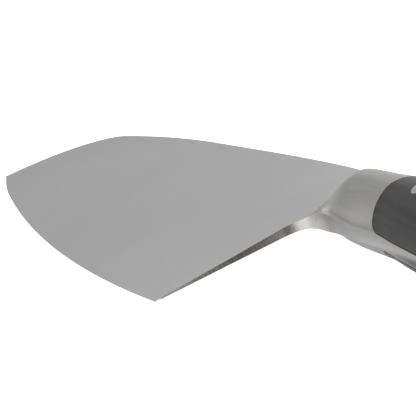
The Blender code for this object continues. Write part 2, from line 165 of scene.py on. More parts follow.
def quad_mesh(name, points, quads, slots=None):
    """Mesh of quads from arrays, with each face's material slot."""
    mesh = bpy.data.meshes.new(name)
    mesh.vertices.add(len(points))
    mesh.vertices.foreach_set("co", in_frame(points).ravel().astype(np.float32))
    mesh.loops.add(quads.size)
    mesh.loops.foreach_set("vertex_index", quads.ravel().astype(np.int32))
    mesh.polygons.add(len(quads))
    mesh.polygons.foreach_set("loop_start", (np.arange(len(quads)) * 4).astype(np.int32))
    if slots is not None:
        mesh.polygons.foreach_set("material_index", slots.astype(np.int32))
    mesh.update(calc_edges=True)
    mesh.validate()
    return mesh


print("a grid of 3 x 4 points:", len(grid_faces(3, 4)), "faces,", len(rim_loop(3, 4)), "points round its rim")

# %% [markdown]
# ## Closed pieces
#
# Blender can thicken a sheet with its Solidify modifier. Here the outer and the inner surface are both
# known, so two equal grids are joined round their rims into a slab. Each finished piece is an object at the
# origin that rides on the knife and stands for one solid of the frame.

# %% Slabs and pieces


def slab(name, outer, inner, marked=None):
    """Closed shell between two equal grids, turned outward by the sign of its volume.

    The marks are the material slots of the grid's faces; a face of the rim takes that of the one beside it.
    """
    rows, columns = outer.shape[:2]
    count = rows * columns
    top = grid_faces(rows, columns)
    loop = rim_loop(rows, columns)
    after = np.roll(loop, -1)
    rim = quads_of((loop, after, after + count, loop + count))
    quads = np.concatenate([top, top[:, ::-1] + count, rim])
    slots = None
    if marked is not None:
        round_rim = np.concatenate([marked[:, 0], marked[-1], marked[::-1, -1], marked[0, ::-1]])
        slots = np.concatenate([marked.ravel(), marked.ravel(), round_rim])
    points = np.concatenate([outer.reshape(-1, 3), inner.reshape(-1, 3)])
    a, b, c, d = (points[quads[:, k]] for k in range(4))
    volume = np.einsum("ij,ij->i", a, np.cross(b, c) + np.cross(c, d)).sum() / 6
    if volume < 0:
        quads = quads[:, ::-1]
    print(f"{name}: {len(quads)} faces, {abs(volume) / 1000:.2f} cm3")
    return quad_mesh(name, points, quads, slots)


def add_object(name, data):
    """Object at the origin for a mesh, lamp or camera, linked to the scene."""
    made = bpy.data.objects.new(name, data)
    bpy.context.scene.collection.objects.link(made)
    return made


def add_piece(name, mesh, crease_degrees, stands_for):
    """Object for a finished mesh, riding on the knife and standing for one solid."""
    mesh.shade_smooth()
    mesh.set_sharp_from_angle(angle=math.radians(crease_degrees))
    piece = add_object(name, mesh)
    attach(piece, "root")
    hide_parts(stands_for)
    return piece


def add_pair(kind, finish, outer, inner, marked, crease_degrees):
    """Left piece from two grids and right piece from their mirror images, with -z for z."""
    pair = {}
    for side, mirror in (("left", (1.0, 1.0, 1.0)), ("right", (1.0, 1.0, -1.0))):
        mesh = slab(f"{kind}_{side}_{finish}", outer * mirror, inner * mirror, marked)
        pair[side] = add_piece(mesh.name, mesh, crease_degrees, f"{kind}_{side}")
    return pair


def slot_numbers(materials):
    """The number of each material's slot, counted from 0 in the order in which a piece gets them."""
    return {name: number for number, name in enumerate(materials)}


print("slots of two materials:", slot_numbers(("steel", "wood")))

# %% [markdown]
# ## The blade's outline
#
# The edge is straight at the heel and rises to the tip in one long belly, so that the knife can both chop
# and rock. The spine runs nearly level and then turns down to the tip, the sheep's foot shape of a santoku.
# Behind the heel the choil rises steeply and rounds into the underside of the bolster, where a finger
# rests. A curve object could trace this, but formulas keep each size of the real blade readable.

# %% Edge, spine and choil
TIP_HEIGHT = 19.3
EDGE_FLAT, BELLY_POWER = 6.0, 1.95
TIP_SWEEP, TIP_SWEEP_LENGTH = 1.0, 20.0
SPINE_FALL, SPINE_FALL_LENGTH = 2.95, 55.0
DROP_LENGTH, DROP_REACH = 33.0, 13.0
TIP_REACH, TIP_ANGLE = 14.0, math.radians(65.0)
CHOIL_TOP, CHOIL_LEAN = 21.4, 2.95
FILLET_LENGTH, FILLET_UP, FILLET_BACK = 9.05, 1.9, 8.3
UNDERSIDE_FRONT, TOP_FRONT = 15.45, 1.0
FRONT_TOP, FRONT_BOTTOM, FLARE_BOTTOM = 2.1, 0.25, 2.95
EDGE_SAMPLES, DROP_SAMPLES, SPINE_SAMPLES, FILLET_SAMPLES = 2000, 400, 1200, 200

choil_top = np.array([CHOIL_LEAN, BLADE_HEIGHT - CHOIL_TOP])
fillet_end_x = CHOIL_LEAN + FILLET_LENGTH
front_low_x = CHOIL_LEAN + FRONT_BOTTOM
flare_low_x = CHOIL_LEAN + FLARE_BOTTOM


def edge_line(count):
    """y = belly * s^1.95 + sweep * t^2; s is the share of the edge ahead of its flat, t that near the tip."""
    x = np.linspace(-BLADE_LENGTH, 0.0, EDGE_SAMPLES)
    s = np.maximum(0.0, -x - EDGE_FLAT) / (BLADE_LENGTH - EDGE_FLAT)
    t = np.maximum(0.0, -x - (BLADE_LENGTH - TIP_SWEEP_LENGTH)) / TIP_SWEEP_LENGTH
    y = (TIP_HEIGHT - TIP_SWEEP) * s**BELLY_POWER + TIP_SWEEP * t**2
    return evenly(np.stack([x, y], axis=1), count)


def spine_line(count):
    """A cubic from the tip up to the spine, then the spine with its two slight falls.

    There y = height - fall * ahead^2 - last fall * behind^4, both as shares of their lengths.
    """
    drop_x = DROP_LENGTH - BLADE_LENGTH
    drop_y = BLADE_HEIGHT - SPINE_FALL
    slope = 2 * SPINE_FALL / SPINE_FALL_LENGTH
    tip = np.array([-BLADE_LENGTH, TIP_HEIGHT])
    up = tip + TIP_REACH * np.array([math.cos(TIP_ANGLE), math.sin(TIP_ANGLE)])
    before_end = (drop_x - DROP_REACH, drop_y - DROP_REACH * slope)
    curve = bezier((tip, up, before_end, (drop_x, drop_y)), DROP_SAMPLES)
    x = np.linspace(drop_x, -FRONT_TOP, SPINE_SAMPLES)[1:]
    level_x = drop_x + SPINE_FALL_LENGTH
    ahead = np.maximum(0.0, level_x - x) / SPINE_FALL_LENGTH
    behind = np.maximum(0.0, x - level_x) / (-FRONT_TOP - level_x)
    y = BLADE_HEIGHT - SPINE_FALL * ahead**2 - TOP_FRONT * behind**4
    return evenly(np.concatenate([curve, np.stack([x, y], axis=1)]), count)


def fillet_line(count):
    """Cubic from the top of the choil, along its slope, to the bolster's underside, where it is level."""
    end = np.array([fillet_end_x, BLADE_HEIGHT - UNDERSIDE_FRONT])
    up = choil_top + FILLET_UP * np.array([choil_top[0] / choil_top[1], 1.0])
    return bezier((choil_top, up, end - (FILLET_BACK, 0.0), end), count)


print("highest point of the spine:", spine_line(500)[:, 1].max().round(2), "mm")

# %% [markdown]
# ## The handle's outline
#
# Heights are measured down from the spine, as a maker would lay them out on the bar. The underside falls
# from the bolster to the palm and on to the beak, the hook that keeps the hand from slipping off; the top
# falls only a little. A few stations with a fair curve are easier to set against the real handle than a
# modelled box.

# %% Underside, top and butt of the handle
BOLSTER_BACK, GRIP_LENGTH = 35.4, 87.5
butt_x = BOLSTER_BACK + GRIP_LENGTH
SHOULDER_TOP, SHOULDER_BACK = 3.05, 14.0
GRIP_XS = (BOLSTER_BACK, BOLSTER_BACK + 32.0, butt_x - 34.0, butt_x - 17.0, butt_x)
GRIP_UNDERSIDE = (17.3, 21.4, 23.6, 24.0, 26.6)
UNDER_BOLSTER = ((13.8, 15.58), (16.0, 15.87), (20.0, 16.33), (24.0, 16.67))
GRIP_START = (46.0, 18.75)
GRIP_TOP = (3.7, 3.9, 4.1, 5.4, 7.8)
GRIP_HALF = (7.1, 7.9, 8.5, 8.4, 8.0)
BUTT_ROUND, BUTT_CORNER, BUTT_SLANT, BUTT_SLANT_LENGTH = 4.0, 6.5, 0.115, 17.0
BUTT_STATIONS = 24


def underside(x):
    """Height of the lower outline: the blade's height less a fair curve through the depths."""
    grip = tuple(zip(GRIP_XS, GRIP_UNDERSIDE))
    stations = ((fillet_end_x, UNDERSIDE_FRONT),) + UNDER_BOLSTER + grip[:1] + (GRIP_START,) + grip[1:]
    return BLADE_HEIGHT - fair(stations, x)


def top_side(x):
    """Height of the upper outline, found in the same way."""
    stations = ((-FRONT_TOP, TOP_FRONT), (SHOULDER_BACK, SHOULDER_TOP)) + tuple(zip(GRIP_XS, GRIP_TOP))
    return BLADE_HEIGHT - fair(stations, x)


def low_y(x):
    """Lower outline of bolster and tang: on the fillet in front, on the underside behind."""
    fillet = fillet_line(FILLET_SAMPLES)
    return np.where(x < fillet_end_x, np.interp(x, fillet[:, 0], fillet[:, 1]), underside(x))


def butt_inset(x, radius):
    """Circle at the butt: r - sqrt(r^2 - past^2)."""
    past = np.clip(x - (butt_x - radius), 0.0, radius)
    return radius - np.sqrt(radius**2 - past**2)


def grip_low_high(x):
    """Lower and upper outline, each drawn in by the butt's round corner."""
    return underside(x) + butt_inset(x, BUTT_CORNER), top_side(x) - butt_inset(x, BUTT_CORNER)


def grip_xs(start, count):
    """Stations: even steps to the butt's corner, then the sines of even angles round it."""
    straight = np.linspace(start, butt_x - BUTT_CORNER, count)
    turn = np.sin(np.linspace(0.0, math.pi / 2, BUTT_STATIONS))[1:]
    return np.concatenate([straight, butt_x - BUTT_CORNER + BUTT_CORNER * turn])


def slanted(x, y):
    """x - slant * share^2 * (y - middle): the butt's face leans forward at its top."""
    share = np.clip((x - (butt_x - BUTT_SLANT_LENGTH)) / BUTT_SLANT_LENGTH, 0.0, 1.0)
    return x - BUTT_SLANT * share**2 * (y - (underside(x) + top_side(x)) / 2)


handle_height = float(top_side(BOLSTER_BACK) - underside(BOLSTER_BACK))
print("handle height at the bolster:", round(handle_height, 2), "mm")

# %% [markdown]
# ## The handle's section
#
# The section is an oval: nearly round at the bolster, flatter in the palm. A superellipse gives both, with
# one power for its lower half and one for its upper. The glued handle is rounded on a belt as a whole, so
# the oval leaves the tang at a slope and the tang's underside is crowned by a fifth of a millimetre. A Bevel
# modifier would round every edge alike.

# %% Section of the handle
STOCK = 3.0
ROUND_POWERS, PALM_POWERS = (1.72, 2.0), (2.1, 2.4)
CORNER_REACH, CORNER_DRAW, CORNER_FADE = 1.2, 1.6, 7.0
FLANK_START = 0.02
CROWN = ((5.0, 0.0), (9.0, 0.12), (14.0, 0.22), (23.5, 0.22), (BOLSTER_BACK, 0.19))
CROWN_FADE = 3.5


def grip_half(x):
    """Half the handle's thickness: a fair curve less the round of the butt."""
    return fair(tuple(zip(GRIP_XS, GRIP_HALF)), x) - butt_inset(x, BUTT_ROUND)


def grip_powers(x):
    """Powers of the lower and the upper half: they change evenly from the bolster's to the palm's."""
    share = np.clip((x - BOLSTER_BACK) / (GRIP_XS[1] - BOLSTER_BACK), 0.0, 1.0)
    return [a + (b - a) * share for a, b in zip(ROUND_POWERS, PALM_POWERS)]


def bulge(v, powers):
    """(1 - |v|^p)^(1/p), with one power below the middle (v < 0) and another above it.

    The lower half starts a little way up that curve, at |v| = 1 - FLANK_START, and is scaled to run from 0
    to 1, so that it leaves the tang at a slope and not square to it.
    """
    power = np.where(v < 0, powers[0], powers[1])
    start = np.where(v < 0, 1.0 - FLANK_START, 1.0)
    first = (1.0 - start**power) ** (1.0 / power)
    full = (1.0 - np.minimum(np.abs(v) * start, 1.0) ** power) ** (1.0 / power)
    return (full - first) / (1.0 - first)


def crown(x):
    """How far the middle of the tang's underside lies below its corners: a fair curve."""
    return fair(CROWN, x)


def crowned(x, y, low):
    """y + crown/2 * (1 - above / fade)^2 over the low line, as the flank's corner is rounded too."""
    return y + crown(x) / 2 * np.clip(1.0 - (y - low) / CROWN_FADE, 0.0, 1.0) ** 2


def section_steps(powers, count):
    """Steps v from -1 to 1 that crowd together where the section curves round to the tang: +-|cos|^(2/p)."""
    c = np.cos(np.linspace(math.pi, 0.0, count))
    return np.where(c < 0, -np.abs(c) ** (2.0 / powers[0]), np.abs(c) ** (2.0 / powers[1]))


def corner_shift(x, v):
    """The joint's lower corner is drawn back by draw * near_tang^2 * smoothstep(near the joint)."""
    height = (GRIP_HALF[0] - STOCK / 2) * bulge(v, ROUND_POWERS)
    near_tang = np.where(v < 0, np.clip(1.0 - height / CORNER_REACH, 0.0, 1.0), 0.0)
    near = np.clip(1.0 - np.abs(x - BOLSTER_BACK) / CORNER_FADE, 0.0, 1.0)
    return CORNER_DRAW * near_tang**2 * near * near * (3 - 2 * near)


print("bulge halfway down the bolster's section:", bulge(np.array([-0.5]), ROUND_POWERS).round(3))

# %% [markdown]
# ## The blade
#
# The blade is ground flat from spine to edge, so in section it is a wedge, and the face is one true plane.
# Only a narrow strip along the edge is steeper: the sharpened bevel. The spine's corners are eased so that
# they don't bite the hand, and the choil's are broken by a hair. A modifier's chamfers would all have one
# width; rows at set distances give each corner its own.

# %% The blade ahead of the bolster
SPINE_THICKNESS, EDGE_SHOULDER, EDGE_LAND = 2.7, 0.14, 0.03
DISTAL_TAPER, BEVEL = 0.001, math.radians(16.0)
SPINE_EASE, EASE_STEP, EASE_DEPTH, CORNER_EASE = 0.3, 0.3, 0.4, 0.11
LARGEST_EASE, LARGEST_BEVEL, TIP_BLUNTING = 0.3, 0.4, 0.4
EDGE_STATIONS, CHOIL_STATIONS, FILLET_STATIONS, BLADE_ROWS = 300, 24, 40, 26


def face_height(points):
    """Half the thickness: shoulder + rise * y + taper * x, the equation of a plane."""
    rise = (SPINE_THICKNESS - EDGE_SHOULDER) / 2 / BLADE_HEIGHT
    z = EDGE_SHOULDER / 2 + rise * points[..., 1] + DISTAL_TAPER * points[..., 0]
    return np.maximum(z, EDGE_LAND)


def across(low, high, start, ease):
    """Points from low to high at v = 0, start, even steps to 1 - ease, 1 - 0.3 ease and 1."""
    middle = np.linspace(0.0, 1.0, BLADE_ROWS - 3)[None, :]
    steps = start[:, None] + (1 - ease - start)[:, None] * middle
    zero = np.zeros((len(low), 1))
    v = np.concatenate([zero, steps, 1 - EASE_STEP * ease[:, None], zero + 1], axis=1)
    return low[:, None, :] + (high - low)[:, None, :] * v[..., None]


def blade_front():
    """Stations along the edge, up the choil and round the fillet, each joined to the spine.

    Heights are the face's plane; the first row drops to the edge or the broken corner, the last are eased.
    """
    edge = edge_line(EDGE_STATIONS)
    choil = choil_top * np.linspace(0.0, 1.0, CHOIL_STATIONS)[1:, None]
    fillet = fillet_line(2 * FILLET_SAMPLES)
    fillet = evenly(fillet[fillet[:, 0] < front_low_x], FILLET_STATIONS)[1:]
    spine = spine_line(len(edge) + len(choil) + len(fillet))
    for line in (edge, spine):
        line[0] += (line[1] - line[0]) * TIP_BLUNTING
    low = np.concatenate([edge, choil, fillet])
    on_edge = np.arange(len(low)) < len(edge)
    length = np.linalg.norm(spine - low, axis=1)
    ease = np.minimum(SPINE_EASE / length, LARGEST_EASE)
    bevel = np.minimum((face_height(low) - EDGE_LAND) / math.tan(BEVEL) / length, LARGEST_BEVEL)
    points = across(low, spine, np.where(on_edge, bevel, CORNER_EASE / length), ease)
    z = face_height(points)
    z[:, 0] = np.where(on_edge, EDGE_LAND, z[:, 0] - CORNER_EASE / 2)
    z[:, -2] -= EASE_STEP * SPINE_EASE * EASE_DEPTH
    z[:, -1] = np.maximum(z[:, -1] - SPINE_EASE, z[:, -1] / 2)
    return np.dstack([points, z])


front = blade_front()
print("blade ahead of the bolster:", front.shape[0], "stations of", front.shape[1], "points")

# %% [markdown]
# ## The bar under the bolster
#
# Between the thin blade and the tang the bar swells to its full stock. The bolster hides most of this, so a
# smoothstep between the two thicknesses is enough. The lines across the bar are slanted in front, like the
# bolster's own front, and crowd together there, where the fillet turns fastest; even steps would show as
# facets.

# %% The seat of the bolster
SEAT_STATIONS, SEAT_RAMP, SEAT_CROWDING, SEAT_LEAD_POWER = 110, 6.0, 1.6, 6


def seat_lines(count):
    """Low and high ends of lines under the bolster, at shares (i / last)^1.6 of its length."""
    share = np.linspace(0.0, 1.0, count)[:, None] ** SEAT_CROWDING
    low_x = front_low_x + (BOLSTER_BACK - front_low_x) * share
    high_x = -FRONT_TOP + (BOLSTER_BACK + FRONT_TOP) * share
    low = np.concatenate([low_x, low_y(low_x)], axis=1)
    high = np.concatenate([high_x, top_side(high_x)], axis=1)
    return low, high


def seat_points(low, high, up):
    """Points low + (high - low) * up on those lines."""
    return low[:, None, :] + (high - low)[:, None, :] * up[..., None]


def behind_flare(flat, up):
    """How far a point lies behind the slanted line where the bolster's flare begins."""
    return flat[..., 0] - (flare_low_x + (-FRONT_TOP - flare_low_x) * up)


def seat_height(flat, up):
    """The steel swells from the blade's face to the full stock: face + (stock/2 - face) * smoothstep.

    At the underside it begins further forward, by lead * (1 - up)^6.
    """
    lead = (FLARE_BOTTOM - FRONT_BOTTOM) * (1 - up) ** SEAT_LEAD_POWER
    t = np.clip((behind_flare(flat, up) + lead) / SEAT_RAMP, 0.0, 1.0)
    face = face_height(flat)
    return face + (STOCK / 2 - face) * t * t * (3 - 2 * t)


def seat_part():
    """The seat's lines with even rows, at the height of the steel."""
    low, high = seat_lines(SEAT_STATIONS)
    up = np.broadcast_to(np.linspace(0.0, 1.0, BLADE_ROWS), (SEAT_STATIONS, BLADE_ROWS))
    flat = seat_points(low, high, up)
    return np.dstack([flat, seat_height(flat, up)])


seat = seat_part()
print("half thickness at the seat's front and back:", seat[0, 0, 2].round(2), seat[-1, 0, 2].round(2), "mm")

# %% [markdown]
# ## The whole bar
#
# Blade, seat and tang are stacked into one grid, so the face has no joint. A strip of rows turns round
# below: the narrow back of the choil, the fillet and the tang's underside. These are ground on another
# wheel than the face and are darker. Their corner with the face, along the choil and the fillet, is painted
# nearly black as a thin line of painted shade. Each has a material slot of its own, which follows the shape
# exactly; a painted mask would blur along so thin a line.

# %% Blade and tang as one piece
TANG_STATIONS = 60
STRIP = (0.08, 0.25, 0.42, 0.58, 0.72, 0.84, 0.93)
FILLET_SHINE_END = 11.4
BLADE_CREASE = 9.5
BLADE_STEELS = ("blade_satin", "choil_ground", "painted_shade_corner", "underside_satin")


def tang_part():
    """Even rows between the handle's lower and upper outline, at half the stock."""
    x = grip_xs(BOLSTER_BACK, TANG_STATIONS)[1:]
    low, high = grip_low_high(x)
    v = np.linspace(0.0, 1.0, BLADE_ROWS)[None, :]
    y = low[:, None] + (high - low)[:, None] * v
    xx = slanted(np.broadcast_to(x[:, None], y.shape), y)
    return np.dstack([xx, y, np.full(y.shape, STOCK / 2)])


def blade_surface():
    """Left surface of blade and tang: a strip below, at shares t of the corner's height, then the face.

    The strip's y is the corner's plus crown * (t^2 - 1/2), a parabola across the bar.
    """
    face = np.concatenate([front[:-1], seat, tang_part()])
    low_line = face[:, :1].copy()
    x, y = low_line[..., 0], low_line[..., 1]
    face[..., 1] = crowned(x, face[..., 1], y)
    strip = np.repeat(low_line, len(STRIP), axis=1)
    t = np.array(STRIP)[None, :]
    strip[..., 1] += crown(x) * (t * t - 0.5)
    strip[..., 2] *= t
    return np.concatenate([strip, face], axis=1)


left_face = blade_surface()
slot = slot_numbers(BLADE_STEELS)
station, row = face_numbers(left_face)
ahead = left_face[:-1, :1, 0] < FILLET_SHINE_END
# The corner row along the choil and the fillet gets a near-black steel: a line of painted shade.
at_corner = ahead & (row == len(STRIP)) & (station >= EDGE_STATIONS)
below = np.where(ahead, slot["choil_ground"], slot["underside_satin"])
on_face = np.where(at_corner, slot["painted_shade_corner"], slot["blade_satin"])
marks = np.where(row < len(STRIP), below, on_face)
blade_mesh = slab("blade_ground", left_face, left_face * (1.0, 1.0, -1.0), marks)
blade = add_piece("blade_ground", blade_mesh, BLADE_CREASE, "blade")

# %% [markdown]
# ## The bolster
#
# Each half starts as nothing on the blade's face, rises in a hollow curve to a shoulder and runs back as
# the round front of the handle. The real halves are welded on and ground until no seam shows, so the outer
# surface begins on the steel itself. One table of half thicknesses behind the front line makes hollow and
# shoulder, as a grinder's template does. Behind the fillet the low corners are wider than the tang, with a
# narrow ledge: a second table. Sculpting could give this form, but not alike on both sides.

# %% Bolster surfaces
FLARE = ((2.0, 1.92), (4.3, 2.84), (7.8, 4.42), (11.6, 5.67), (15.2, 6.21), (20.0, 6.56))
LOW_CORNER = (
    (5.9, 1.25), (7.0, 1.45), (8.0, 1.7), (9.0, 1.98), (10.0, 2.18), (12.0, 2.3), (16.0, 2.1), (20.0, 1.8),
    (27.0, 1.5),
)
FRONT_POWERS, FRONT_POWERS_FADE = (1.5, 2.52), 0.7
BOLSTER_STATIONS, SECTION_POINTS = 150, 97
# The second value is the width of the line of painted shade along the bolster's front.
SEAM, PAINTED_SHADE_WIDTH = 0.004, 0.2
LEDGE_TILT, LEDGE_REACH, LEDGE_START = 0.4, 0.06, ((8.0, 0.0), (13.0, 1.0))
FLARE_LINE_END, FLARE_LINE_ROWS = 9.0, 3
BOLSTER_CREASE = 40.0
BOLSTER_STEELS = ("bolster_satin", "painted_shade_line", "choil_ground", "underside_satin", "blade_satin")


def bolster_surface():
    """Outer and inner grid of the left half, and how far each point lies behind the line of the flare.

    Outer height = corner + (flank - corner) * bulge(v). The flank is bar + half - stock/2, with half from the
    flare's table. The corner is the bar's height above the middle, and the low corner's table below it, kept
    between bar and flank. The ledge lifts the lowest rows by tilt * (corner - bar) * (1 - up / reach).
    """
    low, high = seat_lines(BOLSTER_STATIONS)
    low_x, low_line = low[:, :1], low[:, 1:]
    steps = section_steps(ROUND_POWERS, SECTION_POINTS)
    v = np.broadcast_to(steps, (BOLSTER_STATIONS, SECTION_POINTS))
    up = (v + 1) / 2
    flat = seat_points(low, high, up)

    behind = np.maximum(behind_flare(flat, up), 0.0)
    share = behind / (behind + BOLSTER_BACK - flat[..., 0])
    length = BOLSTER_BACK + (FRONT_TOP - flare_low_x) / 2
    half = fair(((0.0, STOCK / 2),) + FLARE + ((length, GRIP_HALF[0]),), share * length)

    shift = corner_shift(flat[..., 0], v)
    flat[..., 1] += (low_y(low_x + shift) - low_line) * (1 - v) / 2
    bar = seat_height(flat, up)
    flat[..., 0] += shift
    flat[..., 1] = crowned(low_x, flat[..., 1], low_line)

    settled = fair(((0.0, 0.0), (FRONT_POWERS_FADE / 2, 0.5), (FRONT_POWERS_FADE, 1.0)), share)
    powers = [a + (b - a) * settled for a, b in zip(FRONT_POWERS, ROUND_POWERS)]
    flank = bar + SEAM + half - STOCK / 2
    corner = np.where(v < 0, np.clip(fair(LOW_CORNER, low_x), bar + SEAM, flank), bar + SEAM)
    outer = corner + (flank - corner) * bulge(v, powers)
    lifted = flat.copy()
    tilt = LEDGE_TILT * fair(LEDGE_START, low_x)
    lifted[..., 1] += tilt * (corner - bar - SEAM) * np.clip(1.0 - up / LEDGE_REACH, 0.0, 1.0)
    return np.dstack([lifted, outer]), np.dstack([flat, bar + SEAM / 2]), behind


bolster_outer, bolster_inner, behind = bolster_surface()
slot = slot_numbers(BOLSTER_STEELS)
column = face_numbers(bolster_outer)[1]
face_x = bolster_outer[:-1, :1, 0]
on_flare = behind[1:, :-1] > 0
# A hair-wide strip along the bolster's front, and the lowest rows beside the fillet, get a darker steel: a
# line of painted shade.
on_line = behind[:-1, :-1] < PAINTED_SHADE_WIDTH
near_fillet = (column < FLARE_LINE_ROWS) & (face_x < FLARE_LINE_END)
below = np.where(face_x < FILLET_SHINE_END, slot["choil_ground"], slot["underside_satin"])
on_side = np.where(on_line, slot["painted_shade_line"], slot["bolster_satin"])
cases = (column < 1, near_fillet, on_flare)
marks = np.select(cases, (below, slot["painted_shade_line"], on_side), slot["blade_satin"])
bolsters = add_pair("bolster", "ground", bolster_outer, bolster_inner, marks, BOLSTER_CREASE)

# %% [markdown]
# ## The scales
#
# A scale is a D in section: flat against the tang, oval outside. It is glued and riveted, then the whole
# handle is sanded with the bolster so that all surfaces meet. Its front edge is broken by a hair, which
# draws the thin dark line between steel and scale. A reddish band of sealed wood shows at the front and
# along the tang: a few rows of faces with a second material, where a texture would need the surface
# unwrapped.

# %% Scale surfaces
JOINT = 0.08
JOINT_EASE = 0.06
SEALED_BAND = 0.46
SEALED_STATIONS, SEALED_COLUMNS = 2, 4
SCALE_STATIONS = 170
SCALE_CREASE = 30.0


def scale_surface():
    """Outer grid at stock/2 + (half - stock/2) * bulge(v), inner grid flat at stock/2.

    Two stations behind the first end the broken front edge and the sealed band.
    """
    x = grip_xs(BOLSTER_BACK + JOINT, SCALE_STATIONS)
    x = np.concatenate([x[:1], x[:1] + JOINT_EASE, x[:1] + SEALED_BAND, x[1:]])[:, None]
    v = section_steps(ROUND_POWERS, SECTION_POINTS)[None, :]
    drawn = x + corner_shift(x, v)
    low, high = grip_low_high(drawn)
    y = low + (high - low) * (v + 1) / 2
    rise = (grip_half(drawn) - STOCK / 2) * bulge(v + 0 * drawn, grip_powers(drawn))
    rise[0] -= np.minimum(JOINT_EASE, rise[0] / 2)
    flat = np.full(y.shape, STOCK / 2 + SEAM)
    y = crowned(drawn, y, low)
    xx = slanted(drawn, y)
    return np.dstack([xx, y, flat + rise]), np.dstack([xx, y, flat])


scale_outer, scale_inner = scale_surface()
station, column = face_numbers(scale_outer)
sealed = (station < SEALED_STATIONS) | (column < SEALED_COLUMNS)
scales = add_pair("scale", "sanded", scale_outer, scale_inner, sealed, SCALE_CREASE)

# %% [markdown]
# ## The rivets
#
# Each rivet is a socket pressed on a pin. Only the heads show, sanded flush with the wood. A turned piece
# is a profile carried round an axis, as the Screw modifier does it; but the head's top takes its height
# from the scale, so its points have to be known.

# %% Turned pieces
RIVET_SETBACK, RIVET_DEPTH, RIVET_PITCH, RIVET_DROP = 11.7, 9.6, 27.0, 1.6
HEAD_RADIUS, SHANK_RADIUS, PIN_RADIUS = 3.0, 2.0, 1.2
HEAD_SEAT, SOCKET_END, BORE_END, PIN_CLEARANCE = 4.6, 4.0, 3.6, 0.4
HEAD_PROUD, HEAD_RINGS, RIM_WIDTH, RIM_FALL = 0.02, 12, 0.12, 0.06
HOLE_GAP = 0.03
ROUND = 96
MERGE_DISTANCE = 1e-8
RIVET_CREASE = 30.0

first_x, first_y = BOLSTER_BACK + RIVET_SETBACK, BLADE_HEIGHT - RIVET_DEPTH
rivet_places = [(first_x + RIVET_PITCH * i, first_y - RIVET_DROP * i) for i in range(3)]


def turned_points(x, y, profile):
    """Rings (x + r cos a, y + r sin a, z) for a profile of (r, z)."""
    angle = np.linspace(0.0, 2 * math.pi, ROUND, endpoint=False)[None, :]
    r, z = np.array(profile, dtype=float).T[:, :, None]
    return np.dstack([x + r * np.cos(angle), y + r * np.sin(angle), z + 0 * angle])


def turned_mesh(name, rings):
    """Closed mesh through rings that begin and end as a point: quads (i, j), (i+1, j), (i+1, j+1), (i, j+1).

    The points of each end are merged into one, and the faces are turned outward.
    """
    n = numbered(*rings.shape[:2])
    after = np.roll(n, -1, axis=1)
    mesh = quad_mesh(name, rings.reshape(-1, 3), quads_of((n[:-1], n[1:], after[1:], after[:-1])))
    work = bmesh.new()
    work.from_mesh(mesh)
    bmesh.ops.remove_doubles(work, verts=work.verts, dist=MERGE_DISTANCE)
    bmesh.ops.recalc_face_normals(work, faces=work.faces)
    work.to_mesh(mesh)
    work.free()
    return mesh


def scale_height(x, y):
    """Height of the scale's outer surface: stock/2 + (half - stock/2) * bulge(v) at a point's own v."""
    low, high = grip_low_high(x)
    v = (2 * y - low - high) / (high - low)
    return STOCK / 2 + SEAM + (grip_half(x) - STOCK / 2) * bulge(v, grip_powers(x))


def rivet_head(x, y):
    """Rings of a head's top on the scale's surface, from its middle out to a softened rim."""
    radii = np.concatenate([np.linspace(0.0, HEAD_RADIUS - RIM_WIDTH, HEAD_RINGS), [HEAD_RADIUS]])
    rings = turned_points(x, y, [(r, 0.0) for r in radii])
    rings[..., 2] = scale_height(rings[..., 0], rings[..., 1]) + HEAD_PROUD
    rings[-1, :, 2] -= RIM_FALL
    return rings


bore, pin_end = PIN_RADIUS + HOLE_GAP, PIN_CLEARANCE - BORE_END
socket_profile = (
    (HEAD_RADIUS, HEAD_SEAT), (SHANK_RADIUS, HEAD_SEAT), (SHANK_RADIUS, -SOCKET_END),
    (bore, -SOCKET_END), (bore, BORE_END), (0.0, BORE_END),
)
pin_profile = ((HEAD_RADIUS, HEAD_SEAT), (PIN_RADIUS, HEAD_SEAT), (PIN_RADIUS, pin_end), (0.0, pin_end))
rivets = []
for name, (x, y) in zip(("front", "middle", "rear"), rivet_places):
    for part, profile, turn in (("socket", socket_profile, 1.0), ("pin", pin_profile, -1.0)):
        rings = np.concatenate([rivet_head(x, y), turned_points(x, y, profile)]) * (1.0, 1.0, turn)
        mesh = turned_mesh(f"rivet_{name}_{part}_turned", rings)
        rivets.append(add_piece(mesh.name, mesh, RIVET_CREASE, f"rivet_{name}_{part}"))
print("rivet heads:", len(rivets), "at x =", [round(x, 1) for x, _ in rivet_places])

# %% [markdown]
# ## The rivet holes
#
# A stepped drill goes through the scales and a plain one through the tang. Round cutters do the same here;
# holes built into the grid would disturb the even rows that reflect so smoothly. The exact Boolean keeps
# each face's material, and its result becomes the piece's own mesh.

# %% Drilled holes
FAR = 20.0


def drill(piece, profile, turn):
    """Cuts the rivet holes with turned cutters, then keeps the result as the piece's own mesh."""
    group = bpy.data.collections.new("cutters")
    cutters = []
    for x, y in rivet_places:
        rings = turned_points(x, y, profile) * (1.0, 1.0, turn)
        cutter = add_object("cutter", turned_mesh("cutter", rings))
        group.objects.link(cutter)
        cutters.append(cutter)
    cut = piece.modifiers.new("holes", "BOOLEAN")
    cut.solver = "EXACT"
    cut.operation = "DIFFERENCE"
    cut.operand_type = "COLLECTION"
    cut.collection = group
    graph = bpy.context.evaluated_depsgraph_get()
    drilled = bpy.data.meshes.new_from_object(piece.evaluated_get(graph))
    piece.modifiers.clear()
    piece.data = drilled
    for cutter in cutters:
        bpy.data.objects.remove(cutter)
    bpy.data.collections.remove(group)
    numbers = np.zeros(len(drilled.polygons), np.int32)
    drilled.polygons.foreach_get("material_index", numbers)
    print(piece.name, "drilled; faces by slot:", np.bincount(numbers))


